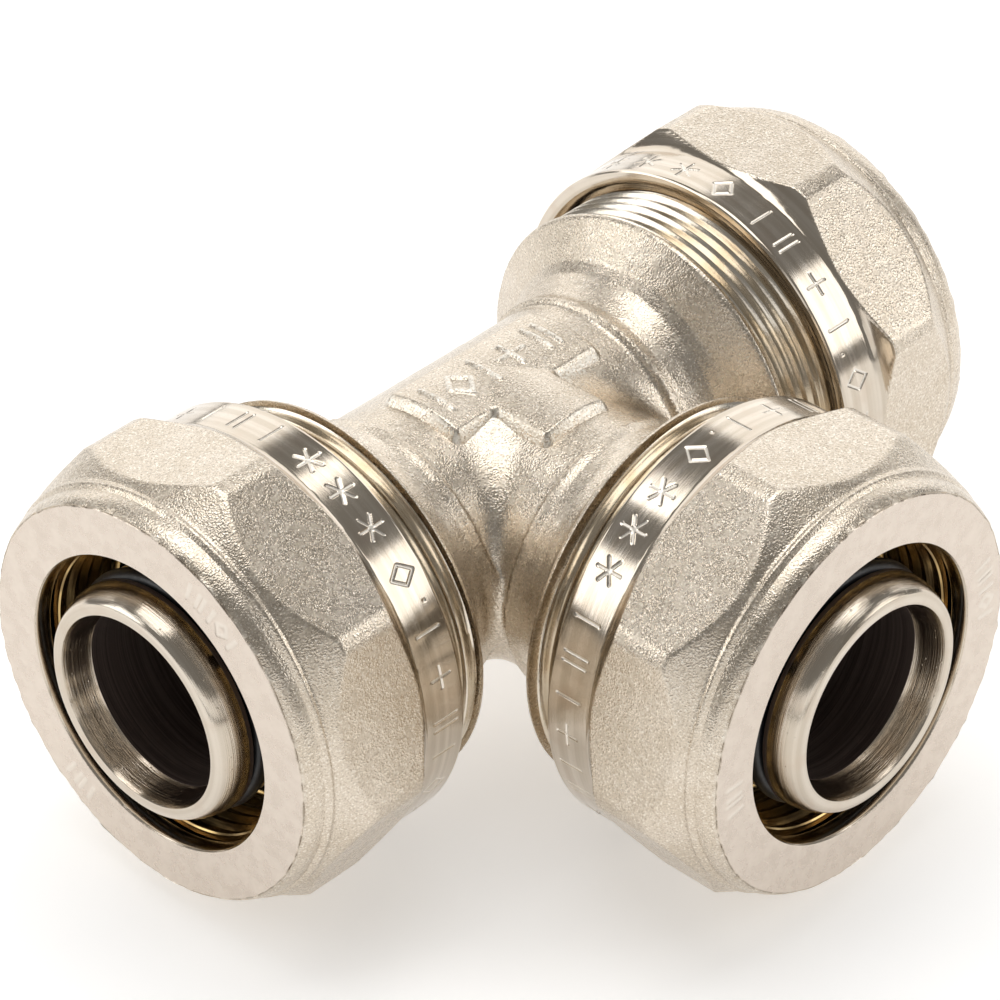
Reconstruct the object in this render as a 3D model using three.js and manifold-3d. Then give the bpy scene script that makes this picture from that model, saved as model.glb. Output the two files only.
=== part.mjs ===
// Compression tee for 32 x 3 mm multilayer pipe, in millimetres, +Z up.
// A forged brass body carries three equal ports. Every port has a spigot with two O-rings and an
// insulating washer, a male thread, a union nut and a split clamping ring.
// The run lies along X (left is -X, right is +X) and the branch points to -Y.
import * as THREE from 'three';
import { mergeVertices } from 'three/addons/utils/BufferGeometryUtils.js';
import { ParametricGeometry } from 'three/addons/geometries/ParametricGeometry.js';
import Module from 'manifold-3d';

const wasm = await Module();
wasm.setup();

const SEGMENTS = 20;          // sides of the turned inner faces and of the threads
const OUTER_SEGMENTS = 32;    // sides of the nut's turned outer faces
const BODY_SEGMENTS = 32;     // sides of the forged barrels

// Body. Lengths marked "run" are from the tee centre, and the branch adds BRANCH_EXTRA to them.
const BRANCH_EXTRA = 1.65;
const SPIGOT_END = 50.6;      // run centre to spigot lip
const BARREL_RADIUS = 14.5;
const RIDGE_START = 14.4;
const RIDGE_END = 15.0;
const RIDGE_RADIUS = 15.25;
const FLARE_END = 20.7;
const FLARE_RADIUS = 16.9;
const COLLAR_FACE_END = 22.7;
const COLLAR_FACE_RADIUS = 20.2;
const COLLAR_END = 23.5;
const COLLAR_RADIUS = 21.1;
const COLLAR_LAND = 0.25;         // length of the collar's straight rim
const SLEEVE_END = 34.2;
const SLEEVE_BORE_RADIUS = 16.4;
const SLEEVE_MOUTH_RADIUS = 18.4;
const SLEEVE_MOUTH_DEPTH = 2.7;
const SLEEVE_CHAMFER = 0.9;
const SLEEVE_RIM_RADIUS = 19.3;
const SOCKET_FLOOR = 26.5;
const SOCKET_WALL_RADIUS = 17;   // where the socket floor ends inside the sleeve's wall
const SPIGOT_RADIUS = 12.9;
const SPIGOT_LIP_RADIUS = 11.9;
const SPIGOT_LEAD = 2.4;
const BORE_RADIUS = 9.9;
const BORE_MOUTH_RADIUS = 10.64;
const BORE_MOUTH_DEPTH = 3.4;

// Raised marking pad on top of the body
const PAD_RADIUS = 15.6;
const PAD_LEFT = -10.3;
const PAD_RIGHT = 11.4;
const PAD_HALF_WIDTH = 5.3;
const PAD_TONGUE_HALF_WIDTH = 4.75;
const PAD_TONGUE_END = -12.5;
const PAD_CORNER = 1.2;
const PAD_BASE = 9;
const PAD_HEIGHT = 9;

// Thread M42 x 1.5 with a running gap on every flank
const PITCH = 1.5;
const MALE_CREST = 20.85;
const MALE_ROOT = 19.75;
const FEMALE_CREST = 20.25;
const FEMALE_ROOT = 21.3;
const MALE_THREAD_PHASE = 24.5;    // height of a male valley on the port frame's +X side

// Sealing parts
const ORING_SECTION = 1.05;
const ORING_RADIUS = 12.2;
const ORING_SIDES = 6;
const ORING_POSITIONS = { outer: 45.4, inner: 40.6 };
const GROOVE_FLOOR = 10.85;
const GROOVE_HALF_WIDTH = 1.4;
const WASHER_THICKNESS = 2.0;
const WASHER_GAP = 0.3;

// Union nut, measured inwards from its front face
const NUT_LENGTH = 20.8;
const NUT_ACROSS_FLATS = 46.9;
const NUT_CORNER_RADIUS = 25.05;
const NUT_SIDES = 8;
const MOUTH_RADIUS = 16.25;
const MOUTH_CHAMFER = 0.3;
const MOUTH_DEPTH = 2.0;
const FACE_RADIUS = 21.7;
const FACE_EDGE_RADIUS = 22.05;
const FACE_EDGE_DEPTH = 0.35;
const RING_RADIUS = 23.15;
const RING_DEPTH = 2.7;
const CONE_DEPTH = 6.7;
const SHOULDER_DEPTH = 13.5;
const BAND_DEPTH = 15.6;
const BAND_RADIUS = 23.25;
const BAND_CHAMFER = 0.25;
const RING_BORE_RADIUS = 19.3;
const RING_BORE_DEPTH = 9.9;
const NUT_ENTRY_RADIUS = 21.87;
const NUT_ENTRY_DEPTH = 0.5;
const FEMALE_THREAD_END = 12.8;

// Split ring, measured inwards from the nut's front face
const SPLIT_FRONT = 2.9;
const SPLIT_BACK = 11.2;
const SPLIT_RADIUS = 18.9;
const SPLIT_FRONT_RADIUS = 16.8;
const SPLIT_FRONT_CONE_END = 5.0;
const SPLIT_BACK_CONE_START = 8.4;
const SPLIT_BACK_RADIUS = 17.0;
const SPLIT_BORE_RADIUS = 15.95;
const SPLIT_RIB_DEPTH = 0.45;
const SPLIT_RIB_PITCH = 1.6;
const SPLIT_RIB_LEAD = 0.4;       // plain bore before the first rib
const SPLIT_RIB_COUNT = 5;
const SLIT_WIDTH = 2.4;

// Ports: outward direction, extra length, gap from collar to nut, and turns of the nut and of the slit
const PORTS = [
  {
    name: 'left',
    direction: new THREE.Vector3(-1, 0, 0),
    extra: 0,
    gap: 4.65,
    turn: 12.2,
    slit: 317,
  },
  {
    name: 'branch',
    direction: new THREE.Vector3(0, -1, 0),
    extra: BRANCH_EXTRA,
    gap: 4.45,
    turn: -8.1,
    slit: 50,
  },
  {
    name: 'right',
    direction: new THREE.Vector3(1, 0, 0),
    extra: 0,
    gap: 6.55,
    turn: -0.4,
    slit: 250,
  },
];

const UP = new THREE.Vector3(0, 0, 1);
const FULL_TURN = 360;        // degrees
const HALF_TURN = 180;
const OVERRUN = 1;            // how far a cutter, or a joined solid, runs past a face
const WELD_DISTANCE = 1e-5;   // points closer than this are one vertex

const MATERIALS = {
  forging: { color: 0xb9ae9c, metalness: 0.9, roughness: 0.45 },
  nut: { color: 0xc2b8a8, metalness: 0.9, roughness: 0.4 },
  brass: { color: 0xc79a3e, metalness: 0.95, roughness: 0.3 },
  rubber: { color: 0x16171a, metalness: 0.0, roughness: 0.6 },
  ptfe: { color: 0xf0efe9, metalness: 0.0, roughness: 0.5 },
};

// --- solids ---------------------------------------------------------------------------------

function toSolid(geometry) {
  const bare = new THREE.BufferGeometry();
  bare.setAttribute('position', geometry.getAttribute('position'));
  bare.setIndex(geometry.getIndex());
  const merged = mergeVertices(bare, WELD_DISTANCE);
  const mesh = new wasm.Mesh({
    numProp: 3,
    vertProperties: new Float32Array(merged.getAttribute('position').array),
    triVerts: new Uint32Array(merged.getIndex().array),
  });
  return new wasm.Manifold(mesh);
}

function toGeometry(solid) {
  const mesh = solid.getMesh();
  const geometry = new THREE.BufferGeometry();
  geometry.setAttribute('position', new THREE.BufferAttribute(new Float32Array(mesh.vertProperties), 3));
  geometry.setIndex(new THREE.BufferAttribute(new Uint32Array(mesh.triVerts), 1));
  geometry.computeVertexNormals();
  return geometry;
}

// Turns a profile of [radius, height] pairs about +Z. It starts and ends on the axis, or closes.
function turned(profile, segments) {
  const points = profile.map(([radius, height]) => new THREE.Vector2(radius, height));
  const geometry = new THREE.LatheGeometry(points, segments);
  geometry.rotateX(Math.PI / 2);
  return toSolid(geometry);
}

function closed(profile) {
  return [...profile, profile[0]];
}

function disc(radius, from, to, segments) {
  return turned([[0, from], [radius, from], [radius, to], [0, to]], segments);
}

function tube(inner, outer, from, to, segments) {
  return turned(closed([[inner, from], [outer, from], [outer, to], [inner, to]]), segments);
}

// Turns a profile whose middle is a right-hand V thread, all as one surface. The thread runs between
// two heights, is cut off flat at both, and has its valley or crest at `phase` on the +X side.
function threaded(before, thread, after, segments) {
  const { from, to, ends, tips, phase } = thread;
  const first = Math.floor((from - phase) / PITCH) - 1;
  const last = Math.ceil((to - phase) / PITCH) + 1;
  const halfTurns = 2 * (last - first);
  const rows = before.length + halfTurns + 1 + after.length;
  const rowPoint = (row, part) => {
    if (row < before.length) {
      return before[row];
    }
    if (row > before.length + halfTurns) {
      return after[row - before.length - halfTurns - 1];
    }
    const index = row - before.length;
    const height = phase + (first + index / 2 + part) * PITCH;
    if (height <= from || height >= to) {
      return [ends, THREE.MathUtils.clamp(height, from, to)];
    }
    return [index % 2 === 0 ? ends : tips, height];
  };
  const place = (u, v, target) => {
    const part = Math.round(u * segments) / segments;
    const [radius, height] = rowPoint(Math.round(v * (rows - 1)), part);
    const angle = part * 2 * Math.PI;
    target.set(radius * Math.cos(angle), radius * Math.sin(angle), height);
  };
  return toSolid(new ParametricGeometry(place, segments, rows - 1));
}

// Matrix that stands a +Z solid on a port: +Z becomes the port's direction and +Y becomes up.
function portMatrix(port) {
  const side = new THREE.Vector3().crossVectors(UP, port.direction);
  return new THREE.Matrix4().makeBasis(side, UP, port.direction);
}

function placed(solid, matrix) {
  return solid.transform(matrix.elements);
}

// --- body -----------------------------------------------------------------------------------

// Outline of one spigot from its lip back to the socket floor, with a groove for each O-ring
function spigotProfile(extra) {
  const profile = [
    [0, SPIGOT_END + extra],
    [SPIGOT_LIP_RADIUS, SPIGOT_END + extra],
    [SPIGOT_RADIUS, SPIGOT_END - SPIGOT_LEAD + extra],
  ];
  for (const position of [ORING_POSITIONS.outer, ORING_POSITIONS.inner]) {
    const middle = position + extra;
    profile.push([SPIGOT_RADIUS, middle + GROOVE_HALF_WIDTH]);
    profile.push([GROOVE_FLOOR, middle + GROOVE_HALF_WIDTH]);
    profile.push([GROOVE_FLOOR, middle - GROOVE_HALF_WIDTH]);
    profile.push([SPIGOT_RADIUS, middle - GROOVE_HALF_WIDTH]);
  }
  profile.push([SPIGOT_RADIUS, SOCKET_FLOOR + extra]);
  profile.push([0, SOCKET_FLOOR + extra]);
  return profile;
}

// The threaded sleeve around the pipe socket, from inside the collar to its open end
function sleeve(extra) {
  const base = COLLAR_END + extra - OVERRUN;
  const end = SLEEVE_END + extra;
  const thread = {
    from: base,
    to: end - SLEEVE_CHAMFER,
    ends: MALE_ROOT,
    tips: MALE_CREST,
    phase: MALE_THREAD_PHASE + extra,
  };
  const mouth = [
    [SLEEVE_RIM_RADIUS, end],
    [SLEEVE_MOUTH_RADIUS, end],
    [SLEEVE_BORE_RADIUS, end - SLEEVE_MOUTH_DEPTH],
    [SLEEVE_BORE_RADIUS, base],
  ];
  return threaded([[SLEEVE_BORE_RADIUS, base]], thread, mouth, SEGMENTS);
}

// The forged outside of one port, from the tee centre to the collar
function forgedPort(extra) {
  return turned([
    [0, -OVERRUN],
    [BARREL_RADIUS, -OVERRUN],
    [BARREL_RADIUS, RIDGE_START + extra],
    [RIDGE_RADIUS, RIDGE_END + extra],
    [FLARE_RADIUS, FLARE_END + extra],
    [COLLAR_FACE_RADIUS, COLLAR_FACE_END + extra],
    [COLLAR_RADIUS, COLLAR_END + extra - COLLAR_LAND],
    [COLLAR_RADIUS, COLLAR_END + extra],
    [0, COLLAR_END + extra],
  ], BODY_SEGMENTS);
}

function portBlank(port) {
  const base = COLLAR_END + port.extra - OVERRUN;
  const root = disc(SOCKET_WALL_RADIUS, base, SOCKET_FLOOR + port.extra, SEGMENTS);
  const spigot = turned(spigotProfile(port.extra).reverse(), SEGMENTS);
  const solid = forgedPort(port.extra).add(root).add(sleeve(port.extra)).add(spigot);
  return placed(solid, portMatrix(port));
}

function portBore(port) {
  const end = SPIGOT_END + port.extra;
  const slope = (BORE_MOUTH_RADIUS - BORE_RADIUS) / BORE_MOUTH_DEPTH;
  const solid = turned([
    [0, -OVERRUN],
    [BORE_RADIUS, -OVERRUN],
    [BORE_RADIUS, end - BORE_MOUTH_DEPTH],
    [BORE_MOUTH_RADIUS + slope * OVERRUN, end + OVERRUN],
    [0, end + OVERRUN],
  ], SEGMENTS);
  return placed(solid, portMatrix(port));
}

function padOutline() {
  const corners = [
    [PAD_LEFT, PAD_HALF_WIDTH],
    [PAD_LEFT, -PAD_HALF_WIDTH],
    [-PAD_TONGUE_HALF_WIDTH, -PAD_HALF_WIDTH],
    [-PAD_TONGUE_HALF_WIDTH, PAD_TONGUE_END],
    [PAD_TONGUE_HALF_WIDTH, PAD_TONGUE_END],
    [PAD_TONGUE_HALF_WIDTH, -PAD_HALF_WIDTH],
    [PAD_RIGHT, -PAD_HALF_WIDTH],
    [PAD_RIGHT, PAD_HALF_WIDTH],
  ].map(([x, y]) => new THREE.Vector2(x, y));
  const shape = new THREE.Shape();
  corners.forEach((corner, i) => {
    const before = corners[(i + corners.length - 1) % corners.length];
    const after = corners[(i + 1) % corners.length];
    const enter = corner.clone().add(before.clone().sub(corner).setLength(PAD_CORNER));
    const leave = corner.clone().add(after.clone().sub(corner).setLength(PAD_CORNER));
    if (i === 0) {
      shape.moveTo(enter.x, enter.y);
    } else {
      shape.lineTo(enter.x, enter.y);
    }
    shape.quadraticCurveTo(corner.x, corner.y, leave.x, leave.y);
  });
  shape.closePath();
  return shape;
}

// Raised pad: a T-shaped slice of a slightly larger tee of plain barrels
function markingPad() {
  const settings = { depth: PAD_HEIGHT, bevelEnabled: false, curveSegments: 2 };
  const prism = new THREE.ExtrudeGeometry(padOutline(), settings);
  prism.translate(0, 0, PAD_BASE);
  const barrels = PORTS.map((port) => placed(
    disc(PAD_RADIUS, -OVERRUN, RIDGE_START, BODY_SEGMENTS),
    portMatrix(port),
  ));
  return wasm.Manifold.union(barrels).intersect(toSolid(prism));
}

function teeBody() {
  const blanks = PORTS.map(portBlank);
  const bores = PORTS.map(portBore);
  const outside = wasm.Manifold.union([...blanks, markingPad()]);
  return toGeometry(outside.subtract(wasm.Manifold.union(bores)));
}

// --- pieces of one port, standing on +Z with the tee centre at z = 0 -------------------------

function nutOutside() {
  const acrossCorners = NUT_ACROSS_FLATS / Math.cos(Math.PI / NUT_SIDES);
  const height = NUT_LENGTH + 2 * OVERRUN;
  const prism = new THREE.CylinderGeometry(acrossCorners / 2, acrossCorners / 2, height, NUT_SIDES);
  prism.rotateX(Math.PI / 2);
  prism.rotateZ(Math.PI / NUT_SIDES);
  prism.translate(0, 0, -NUT_LENGTH / 2);
  const blank = turned([
    [0, -NUT_LENGTH],
    [BAND_RADIUS - BAND_CHAMFER, -NUT_LENGTH],
    [BAND_RADIUS, -NUT_LENGTH + BAND_CHAMFER],
    [BAND_RADIUS, -BAND_DEPTH],
    [NUT_CORNER_RADIUS, -SHOULDER_DEPTH],
    [NUT_CORNER_RADIUS, -CONE_DEPTH],
    [RING_RADIUS, -RING_DEPTH],
    [FACE_EDGE_RADIUS, -FACE_EDGE_DEPTH],
    [FACE_RADIUS, 0],
    [0, 0],
  ], OUTER_SEGMENTS);
  return blank.intersect(toSolid(prism));
}

// Everything cut out of the nut. `phase` is the height of a female valley on the nut's +X side.
function nutInside(phase) {
  const thread = {
    from: -NUT_LENGTH + NUT_ENTRY_DEPTH,
    to: -FEMALE_THREAD_END,
    ends: FEMALE_ROOT,
    tips: FEMALE_CREST,
    phase,
  };
  const entry = [
    [0, -NUT_LENGTH - OVERRUN],
    [NUT_ENTRY_RADIUS + OVERRUN, -NUT_LENGTH - OVERRUN],
    [NUT_ENTRY_RADIUS, -NUT_LENGTH],
  ];
  const front = [
    [FEMALE_ROOT, -RING_BORE_DEPTH],
    [RING_BORE_RADIUS, -RING_BORE_DEPTH],
    [RING_BORE_RADIUS, -MOUTH_DEPTH - (RING_BORE_RADIUS - MOUTH_RADIUS)],
    [MOUTH_RADIUS, -MOUTH_DEPTH],
    [MOUTH_RADIUS, -MOUTH_CHAMFER],
    [MOUTH_RADIUS + MOUTH_CHAMFER + OVERRUN, OVERRUN],
    [0, OVERRUN],
  ];
  return threaded(entry, thread, front, SEGMENTS);
}

// The nut's own frame has its front face at z = 0. Half a turn beyond its own turn puts the valleys
// of its thread over the crests of the body's, so the two mesh at rest.
function nut(port) {
  const turns = (port.turn + HALF_TURN) / FULL_TURN;
  const phase = MALE_THREAD_PHASE + port.extra + turns * PITCH - nutFace(port);
  return toGeometry(nutOutside().subtract(nutInside(phase)));
}

function nutFace(port) {
  return COLLAR_END + port.extra + port.gap + NUT_LENGTH;
}

// Split ring in the nut's frame: cones at both ends, ribs in the bore and one slit
function splitRing() {
  const profile = [
    [SPLIT_BORE_RADIUS, -SPLIT_BACK],
    [SPLIT_BACK_RADIUS, -SPLIT_BACK],
    [SPLIT_RADIUS, -SPLIT_BACK_CONE_START],
    [SPLIT_RADIUS, -SPLIT_FRONT_CONE_END],
    [SPLIT_FRONT_RADIUS, -SPLIT_FRONT],
    [SPLIT_BORE_RADIUS, -SPLIT_FRONT],
  ];
  for (let i = 0; i < SPLIT_RIB_COUNT; i += 1) {
    const top = -SPLIT_FRONT - SPLIT_RIB_LEAD - i * SPLIT_RIB_PITCH;
    profile.push([SPLIT_BORE_RADIUS, top]);
    profile.push([SPLIT_BORE_RADIUS + SPLIT_RIB_DEPTH, top - SPLIT_RIB_PITCH / 2]);
  }
  const slit = new THREE.BoxGeometry(SLIT_WIDTH, 2 * SPLIT_RADIUS, 2 * (SPLIT_BACK + OVERRUN));
  slit.translate(0, SPLIT_RADIUS, 0);
  return toGeometry(turned(closed(profile), SEGMENTS).subtract(toSolid(slit)));
}

function oring() {
  return new THREE.TorusGeometry(ORING_RADIUS, ORING_SECTION, ORING_SIDES, SEGMENTS);
}

function washer() {
  const inner = SPIGOT_RADIUS + WASHER_GAP;
  const outer = SLEEVE_BORE_RADIUS - WASHER_GAP;
  return toGeometry(tube(inner, outer, 0, WASHER_THICKNESS, SEGMENTS));
}

// --- assembly -------------------------------------------------------------------------------

function addMesh(parent, name, geometry, material) {
  const mesh = new THREE.Mesh(geometry, new THREE.MeshStandardMaterial(MATERIALS[material]));
  mesh.name = name;
  parent.add(mesh);
  return mesh;
}

function addPort(parent, port) {
  const frame = new THREE.Group();
  frame.name = `port_${port.name}`;
  frame.setRotationFromMatrix(portMatrix(port));
  parent.add(frame);
  addMesh(frame, `insulating_washer_${port.name}`, washer(), 'ptfe').position.z =
    SOCKET_FLOOR + port.extra + WASHER_GAP;
  for (const [place, position] of Object.entries(ORING_POSITIONS)) {
    addMesh(frame, `oring_${place}_${port.name}`, oring(), 'rubber').position.z = position + port.extra;
  }
  const ring = addMesh(frame, `split_ring_${port.name}`, splitRing(), 'brass');
  ring.position.z = nutFace(port);
  ring.rotation.z = THREE.MathUtils.degToRad(port.slit);
  const cap = addMesh(frame, `union_nut_${port.name}`, nut(port), 'nut');
  cap.position.z = nutFace(port);
  cap.rotation.z = THREE.MathUtils.degToRad(port.turn);
}

function assemble() {
  const tee = new THREE.Group();
  tee.name = 'compression_tee';
  addMesh(tee, 'tee_body', teeBody(), 'forging');
  PORTS.forEach((port) => addPort(tee, port));
  return tee;
}

// Sets the origin at the middle of the bounding box's underside.
function standOnFloor(tee) {
  tee.updateMatrixWorld(true);
  const box = new THREE.Box3().setFromObject(tee, true);
  const middle = box.getCenter(new THREE.Vector3());
  tee.position.set(-middle.x, -middle.y, -box.min.z);
  tee.updateMatrixWorld(true);
  return tee;
}

export default standOnFloor(assemble());
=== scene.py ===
"""Looks of the compression tee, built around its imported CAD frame.

Shapes are made in millimetres. A port's own frame has +Z along the port and +Y up, and its origin is
the tee centre. A nut's own frame has its front face at z = 0, with the rest of the nut below it.
Every mesh keeps those own coordinates in the attribute "own", which its materials read.
"""
import math

import bmesh
import bpy
import numpy as np
from mathutils import Matrix, Vector, noise


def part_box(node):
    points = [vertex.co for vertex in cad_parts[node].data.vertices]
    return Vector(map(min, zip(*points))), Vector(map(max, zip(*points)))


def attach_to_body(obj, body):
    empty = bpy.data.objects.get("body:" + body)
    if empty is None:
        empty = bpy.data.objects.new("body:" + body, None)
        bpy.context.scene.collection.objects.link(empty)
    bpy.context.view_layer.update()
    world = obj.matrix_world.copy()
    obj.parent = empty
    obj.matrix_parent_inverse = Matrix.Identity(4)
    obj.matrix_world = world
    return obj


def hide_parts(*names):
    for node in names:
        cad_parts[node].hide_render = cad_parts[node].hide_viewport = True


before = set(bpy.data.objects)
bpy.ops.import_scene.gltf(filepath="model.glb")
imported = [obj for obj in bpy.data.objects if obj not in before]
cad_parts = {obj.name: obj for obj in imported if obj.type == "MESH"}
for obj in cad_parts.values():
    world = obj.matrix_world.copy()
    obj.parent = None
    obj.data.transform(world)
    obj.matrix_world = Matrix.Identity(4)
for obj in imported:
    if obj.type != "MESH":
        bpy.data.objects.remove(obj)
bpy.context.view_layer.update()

MM = 0.001
TURN = 2 * math.pi

# --- dimensions in millimetres, the same as the CAD's -----------------------------------------

BRANCH_EXTRA = 1.65
SPIGOT_END = 50.6
BARREL_RADIUS = 14.5
COLLAR_END = 23.5
COLLAR_RADIUS = 21.1
BARREL_START = -0.5
BARREL_PROFILE = [
    (14.5, 14.2), (14.62, 14.55), (15.15, 14.85), (15.1, 15.3), (15.0, 16.2), (15.35, 18.0),
    (15.95, 19.6), (16.9, 20.7), (18.5, 21.6), (20.2, 22.6), (20.9, 23.0), (COLLAR_RADIUS, 23.3),
]
FORGING_OVERRUN = 1.6

PITCH = 1.5
MALE_CREST, MALE_ROOT = 20.85, 19.75
FEMALE_CREST, FEMALE_ROOT = 20.25, 21.3
MALE_PHASE = 24.5
SLEEVE_END = 34.2
SOCKET_FLOOR = 26.5
SLEEVE_BORE = 16.4
BORE = 9.9
SPIGOT = 12.9
ORING_SECTION, ORING_RADIUS = 1.05, 12.2
ORINGS = {"outer": 45.4, "inner": 40.6}
GROOVE_FLOOR, GROOVE_HALF = 10.85, 1.4

NUT_LENGTH = 20.8
NUT_HALF_FLATS = 23.45
NUT_SIDES = 8
CORNER = 25.05
FACE_RADIUS = 21.7
MOUTH = 16.25
BAND_RADIUS = 23.25
BAND_START, BAND_END = 15.6, 20.55
BAND_MIDDLE = -18.1
SHOULDER_START = 13.5

# extra is in millimetres; turn, slit, first_mark and face_mark are in degrees about the port
PORTS = [
    {"name": "left", "axis": Vector((-1, 0, 0)), "extra": 0.0, "turn": 12.2, "slit": 317.0,
     "node": "union_nut_left", "first_mark": 0.8, "face_mark": 50.0},
    {"name": "branch", "axis": Vector((0, -1, 0)), "extra": BRANCH_EXTRA, "turn": -8.1, "slit": 50.0,
     "node": "union_nut_branch", "first_mark": 82.0, "face_mark": 20.0},
    {"name": "right", "axis": Vector((1, 0, 0)), "extra": 0.0, "turn": -0.4, "slit": 250.0,
     "node": "union_nut_right", "first_mark": 133.6, "face_mark": 100.0},
]

# --- places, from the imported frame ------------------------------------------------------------

body_low, body_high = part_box("tee_body")
CENTRE = Vector((
    body_low.x + SPIGOT_END * MM,
    body_low.y + (SPIGOT_END + BRANCH_EXTRA) * MM,
    (body_low.z + body_high.z) / 2,
))


def tee_matrix(port):
    """The port's frame in the tee frame, both in millimetres."""
    up = Vector((0, 0, 1))
    return Matrix((up.cross(port["axis"]), up, port["axis"])).transposed().to_4x4()


def port_matrix(port, z=0.0, turn=0.0):
    """Places millimetre coordinates on this port, moved z out along it and turned about it."""
    place = Matrix.Translation(CENTRE) @ Matrix.Scale(MM, 4) @ tee_matrix(port)
    return place @ Matrix.Translation((0, 0, z)) @ Matrix.Rotation(turn, 4, "Z")


def nut_face(port):
    """Height of the nut's front face above the tee centre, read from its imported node."""
    low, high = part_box(port["node"])
    reach = [abs((corner - CENTRE).dot(port["axis"])) for corner in (low, high)]
    return max(reach) / MM


# --- meshes -----------------------------------------------------------------------------------


def new_piece(name, points, faces, matrix, materials, values=None, face_materials=None, sharp=35.0):
    """A mesh object from millimetre points, with its own coordinates and float attributes.

    The matrix takes it to its place in metres. Edges over sharp degrees are drawn sharp.
    """
    mesh = bpy.data.meshes.new(name)
    mesh.from_pydata(points.tolist(), [], faces)
    add_attribute(mesh, "own", points, "FLOAT_VECTOR")
    for key, value in (values or {}).items():
        add_attribute(mesh, key, value, "FLOAT")
    for material in materials:
        mesh.materials.append(material)
    if face_materials is not None:
        mesh.polygons.foreach_set("material_index", np.asarray(face_materials, np.int32))
    mesh.transform(matrix)
    shape = bmesh.new()
    shape.from_mesh(mesh)
    bmesh.ops.recalc_face_normals(shape, faces=shape.faces)
    shape.to_mesh(mesh)
    shape.free()
    mesh.shade_smooth()
    mesh.set_sharp_from_angle(angle=math.radians(sharp))
    piece = bpy.data.objects.new(name, mesh)
    bpy.context.scene.collection.objects.link(piece)
    return piece


def add_attribute(mesh, name, value, kind):
    attribute = mesh.attributes.new(name, kind, "POINT")
    field = "vector" if kind == "FLOAT_VECTOR" else "value"
    attribute.data.foreach_set(field, np.asarray(value, np.float32).ravel())


def round_angles(columns):
    return np.arange(columns) * TURN / columns


THREAD_STEPS = 8        # rows in one pitch
THREAD_RUNOUT = 0.5     # length over which a thread fades at its ends
TINY = 1e-6


class Loft:
    """Rings of points about +Z, joined one to the next. Each ring may have its own number of columns.

    A face's tag is the index of its material. Every point has the four values that make_nut reads.
    """

    def __init__(self):
        self.points = []
        self.faces = []
        self.tags = []
        self.values = {"finish": [], "mark": [], "satin": [], "dirt": []}
        self.count = 0
        self.rings = []

    def add_points(self, x, y, z, finish=1.0, mark=0.0, satin=0.0, dirt=0.0):
        n = len(x)
        self.points.append(np.stack([x, y, np.broadcast_to(z, n)], 1))
        for key, value in (("finish", finish), ("mark", mark), ("satin", satin), ("dirt", dirt)):
            self.values[key].append(np.broadcast_to(value, n))
        start = self.count
        self.count += n
        return start

    def ring(self, columns, radius, z, tag=0, joined=True, **values):
        """Adds a ring and, if it is joined, the faces between it and the ring before."""
        angle = round_angles(columns)
        radius = np.broadcast_to(radius, columns)
        start = self.add_points(radius * np.cos(angle), radius * np.sin(angle), z, **values)
        if joined and self.rings:
            self.join(self.rings[-1], (start, columns), tag)
        self.rings.append((start, columns))

    def profile(self, columns, outline, tag=0):
        """Adds a ring for each (radius, z) of the outline."""
        for radius, z in outline:
            self.ring(columns, radius, z, tag)

    def join(self, first, second, tag):
        (a, columns_a), (b, columns_b) = first, second
        if columns_a <= columns_b:
            coarse, n, fine, m, flip = a, columns_a, b, columns_b, False
        else:
            coarse, n, fine, m, flip = b, columns_b, a, columns_a, True
        ratio = m // n
        for i in range(n):
            corner = [coarse + (i + 1) % n, coarse + i]
            edge = [fine + (i * ratio + k) % m for k in range(ratio + 1)]
            face = corner + edge
            self.faces.append(face[::-1] if flip else face)
            self.tags.append(tag)

    def thread(self, columns, target, phase, root, crest, tag=0):
        """Adds a right-hand thread as helical rows, from the last ring to a new ring at the target.

        The target may lie above the last ring or below it. A valley is at height phase at angle 0.
        """
        begin = self.rings[-1][0]
        begin_height = self.points[-1][0, 2]
        self.ring(columns, root, target, joined=False)
        end = self.rings[-1][0]
        if begin_height < target:
            (low, bottom), (high, top) = (begin_height, begin), (target, end)
        else:
            (low, bottom), (high, top) = (target, end), (begin_height, begin)
        steps = THREAD_STEPS
        angle = round_angles(columns)
        first = math.floor((low - phase) / PITCH) - 1
        last = math.ceil((high - phase) / PITCH) + 1
        rows = (last - first) * steps + 1
        part = np.arange(columns) / columns
        index = np.full((rows, columns), -1, int)
        for row in range(rows):
            height = phase + (first + row / steps + part) * PITCH
            fade = np.clip(np.minimum(height - low, high - height) / THREAD_RUNOUT, 0, 1)
            radius = root + (crest - root) * flank((row % steps) / steps) * fade
            below, above = height <= low + TINY, height >= high - TINY
            inside = ~(below | above)
            start = self.add_points(
                (radius * np.cos(angle))[inside], (radius * np.sin(angle))[inside], height[inside])
            index[row, inside] = start + np.arange(inside.sum())
            index[row, below] = (bottom + np.arange(columns))[below]
            index[row, above] = (top + np.arange(columns))[above]
        for row in range(rows - 1):
            for i in range(columns):
                if i + 1 < columns:
                    ahead, ahead_up = index[row, i + 1], index[row + 1, i + 1]
                else:
                    over, over_up = row + steps, row + 1 + steps
                    ahead = index[over, 0] if over < rows else top
                    ahead_up = index[over_up, 0] if over_up < rows else top
                quad = [index[row, i], ahead, ahead_up, index[row + 1, i]]
                face = [int(v) for k, v in enumerate(quad) if v != quad[k - 1]]
                if len(face) > 2 and len(set(face)) == len(face):
                    self.faces.append(face)
                    self.tags.append(tag)

    def close(self):
        """Joins the last ring to the first."""
        self.join(self.rings[-1], self.rings[0], 0)

    def piece(self, name, matrix, materials, sharp=35.0):
        points = np.concatenate(self.points)
        values = {key: np.concatenate(value) for key, value in self.values.items()}
        return new_piece(name, points, self.faces, matrix, materials, values, self.tags, sharp)


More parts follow.
